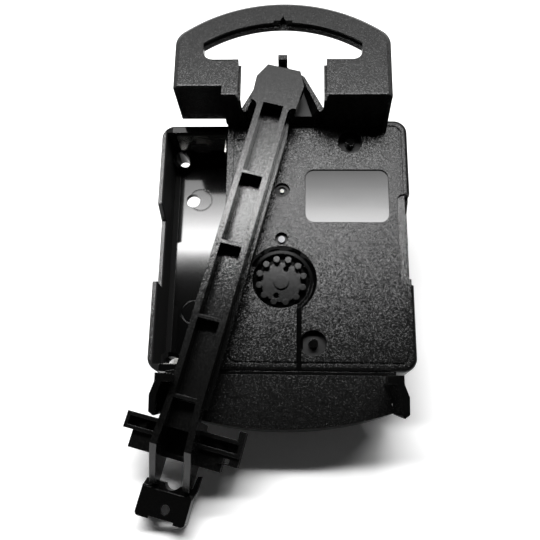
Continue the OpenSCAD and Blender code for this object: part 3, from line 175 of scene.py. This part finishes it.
def black_plastic(name, rough, grain, smooth_boxes=(), satin_boxes=(), satin=SATIN, gloss=0.5, crest_sheen=0.0):
    """Moulded black plastic: rounded edges, a spark-eroded grain whose base colour carries a painted
    highlight on its crests and painted shade in its pits, and boxes that are polished or satin.
    """
    n = Nodes(name)
    place, parts = n.place()
    smooth = 0.0
    for box in smooth_boxes:
        smooth = n.math("MAXIMUM", smooth, n.inside(parts, *box))
    dull = 0.0
    for box in satin_boxes:
        dull = n.math("MAXIMUM", dull, n.inside(parts, *box))
    grained = n.math("SUBTRACT", 1.0, n.math("MAXIMUM", smooth, dull))
    fine = n.noise(place, GRAIN_CELLS, 1.0, 0.6)
    cells = n.add("TexVoronoi", Vector=place, Scale=GRAIN_CELLS)
    tilt = n.add("VectorMath", _operation="SUBTRACT")
    n.put(tilt.inputs[0], cells.outputs["Color"])
    tilt.inputs[1].default_value = (0.5, 0.5, 0.5)  # so that a facet tilts either way
    facet = n.add("VectorMath", _operation="SCALE")
    n.put(facet.inputs[0], tilt.outputs[0])
    n.put(facet.inputs["Scale"], n.math("MULTIPLY", grained, grain * GRAIN_TILT))
    flow = n.noise(place, WAVE_CELLS)
    bevel = n.add("Bevel", Radius=EDGE_R)
    bevel.samples = EDGE_SAMPLES
    tilted = n.add("VectorMath", _operation="ADD")
    n.put(tilted.inputs[0], bevel.outputs[0])
    n.put(tilted.inputs[1], facet.outputs[0])
    normal = n.add("VectorMath", _operation="NORMALIZE")
    n.put(normal.inputs[0], tilted.outputs[0])
    bump = n.add("Bump", Distance=GRAIN_DEPTH, Height=fine, Normal=normal.outputs[0])
    n.put(bump.inputs["Strength"], n.math("MULTIPLY", grained, grain))
    wave = n.add("Bump", Distance=WAVE_DEPTH, Height=flow, Normal=bump.outputs[0], Strength=WAVE_STRENGTH)
    # Painted highlight and painted shade: the base colour turns lighter on the grain's crests and darker in
    # its pits, in step with the bump height.
    crest_sheen_mask = n.math("MULTIPLY", grained, n.step(fine, *CREST_SHEEN_SPAN))
    base = n.mix_color(crest_sheen_mask, color(BLACK * 0.5), color(BLACK + crest_sheen, (1, 1, 0.97)))
    shader = n.add("BsdfPrincipled", Base_Color=base, Normal=wave.outputs[0], IOR=PLASTIC_IOR)
    shader.inputs["Specular IOR Level"].default_value = gloss
    pits = n.math("MULTIPLY", n.step(fine, *PIT_SPAN), grain * PIT_ROUGH)
    moulded = n.mix(dull, n.math("ADD", rough, pits), satin)
    n.put(shader.inputs["Roughness"], n.mix(smooth, moulded, POLISHED))
    return n.finish(shader)


def metal(name, tint, rough, streaks=0.0, cells=6.0):
    """Plain metal with slight unevenness and fine scratches."""
    n = Nodes(name)
    place, parts = n.place()
    cloud = n.noise(place, 0.7, 3.0)
    fine = n.noise(place, cells, 2.0)
    shader = n.add("BsdfPrincipled", Metallic=1.0)
    n.put(shader.inputs["Base Color"], n.mix_color(cloud, color(0.85, tint), color(1.0, tint)))
    n.put(shader.inputs["Roughness"], n.math("ADD", rough, n.math("MULTIPLY", cloud, 0.15)))
    bump = n.add("Bump", Distance=0.01 * MM, Height=fine, Strength=0.2 + streaks)
    n.put(shader.inputs["Normal"], bump.outputs[0])
    return n.finish(shader)


def winding(name, tint, pitch, radial_axis):
    """Enamelled copper wire, wound in turns along that axis."""
    n = Nodes(name)
    place, parts = n.place()
    turns = n.math("SINE", n.math("MULTIPLY", parts[radial_axis], 2 * math.pi / pitch))
    cloud = n.noise(place, 1.2, 2.0)
    shader = n.add("BsdfPrincipled", Metallic=0.7, Roughness=0.3, Coat_Weight=0.4)
    n.put(shader.inputs["Base Color"], n.mix_color(cloud, color(0.8, tint), color(1.0, tint)))
    bump = n.add("Bump", Distance=0.05 * MM, Height=turns, Strength=0.6)
    n.put(shader.inputs["Normal"], bump.outputs[0])
    return n.finish(shader)


def pale_plastic(name, tint):
    """Moulded white acetal, slightly waxy."""
    n = Nodes(name)
    place, parts = n.place()
    cloud = n.noise(place, 0.5, 3.0)
    shader = n.add("BsdfPrincipled", Subsurface_Weight=0.1)
    shader.inputs["Subsurface Scale"].default_value = 0.5 * MM
    n.put(shader.inputs["Base Color"], n.mix_color(cloud, color(0.8, tint), color(0.88, tint)))
    n.put(shader.inputs["Roughness"], n.math("ADD", 0.32, n.math("MULTIPLY", cloud, 0.15)))
    bump = n.add("Bump", Distance=0.01 * MM, Height=n.noise(place, 4.0), Strength=0.2)
    n.put(shader.inputs["Normal"], bump.outputs[0])
    return n.finish(shader)


def board(name):
    """Circuit board with green solder mask over copper tracks."""
    n = Nodes(name)
    place, parts = n.place()
    cells = n.add("TexVoronoi", _feature="DISTANCE_TO_EDGE", _distance="MANHATTAN", Vector=place, Scale=0.25)
    tracks = n.step(cells.outputs["Distance"], 0.1, 0.16)
    shader = n.add("BsdfPrincipled", Roughness=0.25)
    n.put(shader.inputs["Base Color"], n.mix_color(tracks, (0.1, 0.3, 0.12, 1), (0.05, 0.2, 0.08, 1)))
    bump = n.add("Bump", Distance=0.03 * MM, Height=tracks, Strength=0.6, _invert=True)
    n.put(shader.inputs["Normal"], bump.outputs[0])
    return n.finish(shader)


def thread(name, tint, pitch, span):
    """Brass with a cut thread over a span of y, in millimetres."""
    n = Nodes(name)
    place, parts = n.place()
    turn = n.math("ARCTAN2", parts[2], parts[0])
    rise = n.math("ADD", n.math("DIVIDE", parts[1], pitch), n.math("DIVIDE", turn, 2 * math.pi))
    groove = n.math("PINGPONG", rise, 0.5)
    cut = n.math("MULTIPLY", n.inside(parts, y=span), groove)
    cloud = n.noise(place, 0.8, 3.0)
    shader = n.add("BsdfPrincipled", Metallic=1.0)
    n.put(shader.inputs["Base Color"], n.mix_color(cloud, color(0.85, tint), color(1.0, tint)))
    n.put(shader.inputs["Roughness"], n.math("ADD", 0.22, n.math("MULTIPLY", cloud, 0.15)))
    bump = n.add("Bump", Distance=0.5 * MM, Height=cut, Strength=1.0)
    n.put(shader.inputs["Normal"], bump.outputs[0])
    return n.finish(shader)


# Looks of every CAD node, with areas as boxes of x, y and z in millimetres

STEEL = (0.72, 0.72, 0.74)
DARK_STEEL = (0.13, 0.13, 0.135)
BRASS = (0.78, 0.62, 0.32)
NICKEL = (0.78, 0.77, 0.74)
COPPER = (0.72, 0.40, 0.22)
ACETAL = (0.98, 0.98, 0.94)

LABEL_BOX = ((5.1, 23.4), (-17.9, -17.2), (3.8, 16.2))
NICHE_BOX = ((-7, 7), (-21.6, -18), (26, 38))
RECESS_BOXES = (
    ((12.3, 18.1), (-17.9, -14), (20.1, 25.9)),
    ((3.9, 9.7), (-17.9, -14), (-25.6, -19.8)),
    ((-1.8, 1.8), (-17.9, -14), (9.5, 13.1)),
    ((-1.6, 1.6), (-17.9, -14), (-1.6, 1.6)),
)
SHELL_BOX = ((-25.6, 24.2), None, None)
WALL_BOX = ((-27.2, -25.6), None, None)
DRAIN_BOX = ((3, 4.7), (-17.9, -15), (-28.6, -15))
POCKET_BOX = ((-7.6, 7.6), (-17.9, -12), (-17, -2))


def dress_nodes():
    polished = (LABEL_BOX, POCKET_BOX, DRAIN_BOX)
    satin = (NICHE_BOX,) + RECESS_BOXES
    # The crest_sheen values set how strong the painted highlight on the grain's crests is.
    grained = black_plastic("grained_black", 0.13, 1.0, polished, satin, gloss=0.25, crest_sheen=0.008)
    arm_black = black_plastic("arm_black", 0.14, 0.45, crest_sheen=0.006, gloss=0.36)
    smooth = black_plastic("smooth_black", 0.07, 0.0)
    shell = black_plastic("shell_black", 0.15, 1.0, [SHELL_BOX], [WALL_BOX], satin=DULL, gloss=0.42)
    wheel_black = black_plastic("wheel_black", 0.16, 0.1, gloss=0.35)
    hook_black = black_plastic("hook_black", 0.15, 0.15)
    steel = metal("steel", STEEL, 0.2)
    nickel = metal("nickel", NICKEL, 0.15)
    brass = metal("brass", BRASS, 0.22)
    bush = thread("bush_brass", BRASS, 0.75, (0.2, 8))
    acetal = pale_plastic("white_acetal", ACETAL)
    wire = winding("copper_wire", COPPER, 0.16, 0)
    drive_wire = winding("drive_copper_wire", COPPER, 0.16, 1)
    looks = {
        "front_shell": shell,
        "back_cover": grained,
        "hanger_frame": grained,
        "pivot_pin": steel,
        "coil_housing": smooth,
        "housing_cover": grained,
        "stop_bracket_left": smooth,
        "stop_bracket_right": smooth,
        "locating_studs": smooth,
        "contact_positive": nickel,
        "contact_negative": nickel,
        "gear_plate": acetal,
        "circuit_board": board("board_green"),
        # The chip's grain also gets a painted highlight on its crests and painted shade in its pits.
        "control_chip": black_plastic("chip_black", 0.3, 0.1, crest_sheen=0.03),
        "quartz_crystal": steel,
        "stator": steel,
        "step_core": steel,
        "step_bobbin": acetal,
        "step_coil": wire,
        "drive_bobbin": acetal,
        "drive_coil": drive_wire,
        "threaded_bush": bush,
        "set_wheel": wheel_black,
        "minute_wheel": acetal,
        "minute_pipe": brass,
        "hour_wheel": acetal,
        "seconds_arbor": metal("dark_steel", DARK_STEEL, 0.35),
        "seconds_wheel": acetal,
        "third_wheel": acetal,
        "centre_wheel": acetal,
        "intermediate_wheel": acetal,
        "rotor_pinion": acetal,
        "rotor_magnet": metal("sintered_magnet", (0.33, 0.33, 0.35), 0.35),
        "pendulum_arm": arm_black,
        "arm_magnet": metal("bar_magnet", (0.5, 0.5, 0.52), 0.3),
        "hook_plate": hook_black,
    }
    for name, material in looks.items():
        node = nodes[name]
        node.data.materials.clear()
        node.data.materials.append(material)


# Stage: a white sheet under the dial side, lamps above, and a dark ceiling that only reflections see.
# Each lamp band has its low and high edge in z, its right edge in x, and its radiance.

SHEET_Y = 16.2 * MM
SHEET_SLOPE = 0.4
SHEET_HALF = 0.6
SHEET_WHITE = 0.9
SHEET_SHOWN = 1.35
CEILING_R = 1.2
CEILING_LEVEL = 0.02
FILL = 0.035
DIAL_LAMP_DISTANCE = 0.9
LAMP_Y = -268
LAMP_LEFT = -190
LAMP_BANDS = (
    (76, 82, 70, 2),
    (82, 87, 70, 9),
    (87, 101, 70, 36),
    (101, 107, 70, 30),
    (107, 113, 100, 21),
    (113, 120, 190, 16),
    (120, 128, 190, 11),
    (128, 140, 190, 7.5),
    (140, 165, 190, 4),
    (165, 330, 190, 2.6),
)


def sheet_material():
    """White paper. It is see-through from behind and to shadow rays, so the dial side can be looked at."""
    n = Nodes("white_sheet")
    paths = n.add("LightPath").outputs
    back = n.add("NewGeometry").outputs["Backfacing"]
    paper = n.add("BsdfDiffuse")
    n.put(paper.inputs["Color"], n.mix_color(paths["Is Camera Ray"], color(SHEET_WHITE), color(SHEET_SHOWN)))
    clear = n.add("BsdfTransparent")
    mixed = n.add("MixShader")
    n.put(mixed.inputs[0], n.math("MAXIMUM", back, paths["Is Shadow Ray"]))
    n.put(mixed.inputs[1], paper.outputs[0])
    n.put(mixed.inputs[2], clear.outputs[0])
    return n.finish(mixed)


def plane(name, centre, across, along, half_across, half_along, material):
    """A rectangle whose front side faces across x along."""
    corners = [
        centre + across * sx * half_across + along * sy * half_along
        for sx, sy in ((-1, -1), (1, -1), (1, 1), (-1, 1))
    ]
    mesh = bpy.data.meshes.new(name)
    mesh.from_pydata([tuple(c) for c in corners], [], [(0, 1, 2, 3)])
    mesh.materials.append(material)
    made = bpy.data.objects.new(name, mesh)
    scene.collection.objects.link(made)
    return made


def make_sheet():
    plane(
        "sheet",
        Vector((0, SHEET_Y, 0)),
        Vector((1, 0, 0)),
        Vector((0, SHEET_SLOPE, 1)).normalized(),
        SHEET_HALF,
        SHEET_HALF,
        sheet_material(),
    )


def make_ceiling():
    """Dark room above and around the object. Only glossy rays meet it."""
    n = Nodes("dark_ceiling")
    n.finish(n.add("Emission", Color=color(CEILING_LEVEL)))
    mesh = bpy.data.meshes.new("ceiling")
    shape = bmesh.new()
    bmesh.ops.create_uvsphere(shape, u_segments=48, v_segments=24, radius=CEILING_R)
    behind = [v for v in shape.verts if v.co.y > SHEET_Y]
    bmesh.ops.delete(shape, geom=behind, context="VERTS")
    shape.to_mesh(mesh)
    shape.free()
    mesh.materials.append(n.material)
    ceiling = bpy.data.objects.new("ceiling", mesh)
    scene.collection.objects.link(ceiling)
    ceiling.visible_camera = False
    ceiling.visible_diffuse = False
    ceiling.visible_shadow = False
    ceiling.visible_transmission = False


def panel_lamp(name, towards_top, towards_right, height_deg, width_deg, radiance):
    """A soft rectangular lamp on the dial side, seen from the object at those angles from its normal."""
    distance = DIAL_LAMP_DISTANCE
    aim = Vector((math.tan(math.radians(towards_right)), 1, math.tan(math.radians(towards_top))))
    aim.normalize()
    high = 2 * distance * math.tan(math.radians(height_deg / 2))
    wide = 2 * distance * math.tan(math.radians(width_deg / 2))
    data = bpy.data.lights.new(name, "AREA")
    data.shape = "RECTANGLE"
    data.size, data.size_y = wide, high
    data.energy = radiance * math.pi * high * wide
    lamp = bpy.data.objects.new(name, data)
    scene.collection.objects.link(lamp)
    lamp.location = aim * distance
    forward = -aim
    right = forward.cross(Vector((0, 0, 1))).normalized()
    up = right.cross(forward)
    facing = Matrix((right, up, -forward)).transposed()
    lamp.matrix_world = Matrix.Translation(lamp.location) @ facing.to_4x4()
    return lamp


def hung_lamp(name, low, high, left, right, radiance):
    """A soft rectangle hung above the object, facing straight down, with its edges in millimetres."""
    data = bpy.data.lights.new(name, "AREA")
    data.shape = "RECTANGLE"
    data.size, data.size_y = (right - left) * MM, (high - low) * MM
    data.energy = radiance * math.pi * data.size * data.size_y
    lamp = bpy.data.objects.new(name, data)
    scene.collection.objects.link(lamp)
    place = Vector(((left + right) / 2, LAMP_Y, (low + high) / 2)) * MM
    lamp.matrix_world = Matrix.Translation(place) @ Matrix.Rotation(math.radians(90), 4, "X")
    return lamp


def make_world():
    """White to the camera and in reflections, and an even fill for everything else."""
    world = bpy.data.worlds.new("studio")
    scene.world = world
    world.use_nodes = True
    tree = world.node_tree
    tree.nodes.clear()
    paths = tree.nodes.new("ShaderNodeLightPath").outputs
    seen = tree.nodes.new("ShaderNodeMath")
    seen.operation = "MAXIMUM"
    tree.links.new(paths["Is Camera Ray"], seen.inputs[0])
    tree.links.new(paths["Is Glossy Ray"], seen.inputs[1])
    through = tree.nodes.new("ShaderNodeMath")
    through.operation = "MAXIMUM"
    tree.links.new(seen.outputs[0], through.inputs[0])
    tree.links.new(paths["Is Transmission Ray"], through.inputs[1])
    level = tree.nodes.new("ShaderNodeMapRange")
    level.inputs["To Min"].default_value = FILL
    level.inputs["To Max"].default_value = 1.0
    tree.links.new(through.outputs[0], level.inputs["Value"])
    background = tree.nodes.new("ShaderNodeBackground")
    background.inputs["Color"].default_value = (1, 1, 1, 1)
    tree.links.new(level.outputs["Result"], background.inputs["Strength"])
    output = tree.nodes.new("ShaderNodeOutputWorld")
    tree.links.new(background.outputs[0], output.inputs["Surface"])


def make_stage():
    make_world()
    make_sheet()
    make_ceiling()
    for number, (low, high, right, radiance) in enumerate(LAMP_BANDS):
        hung_lamp(f"lamp_band_{number}", low, high, LAMP_LEFT, right, radiance)
    panel_lamp("dial_side_lamp", 30, 20, height_deg=40, width_deg=50, radiance=1.5)


make_camera()
dress_nodes()
make_stage()
scene.view_settings.view_transform = "Standard"
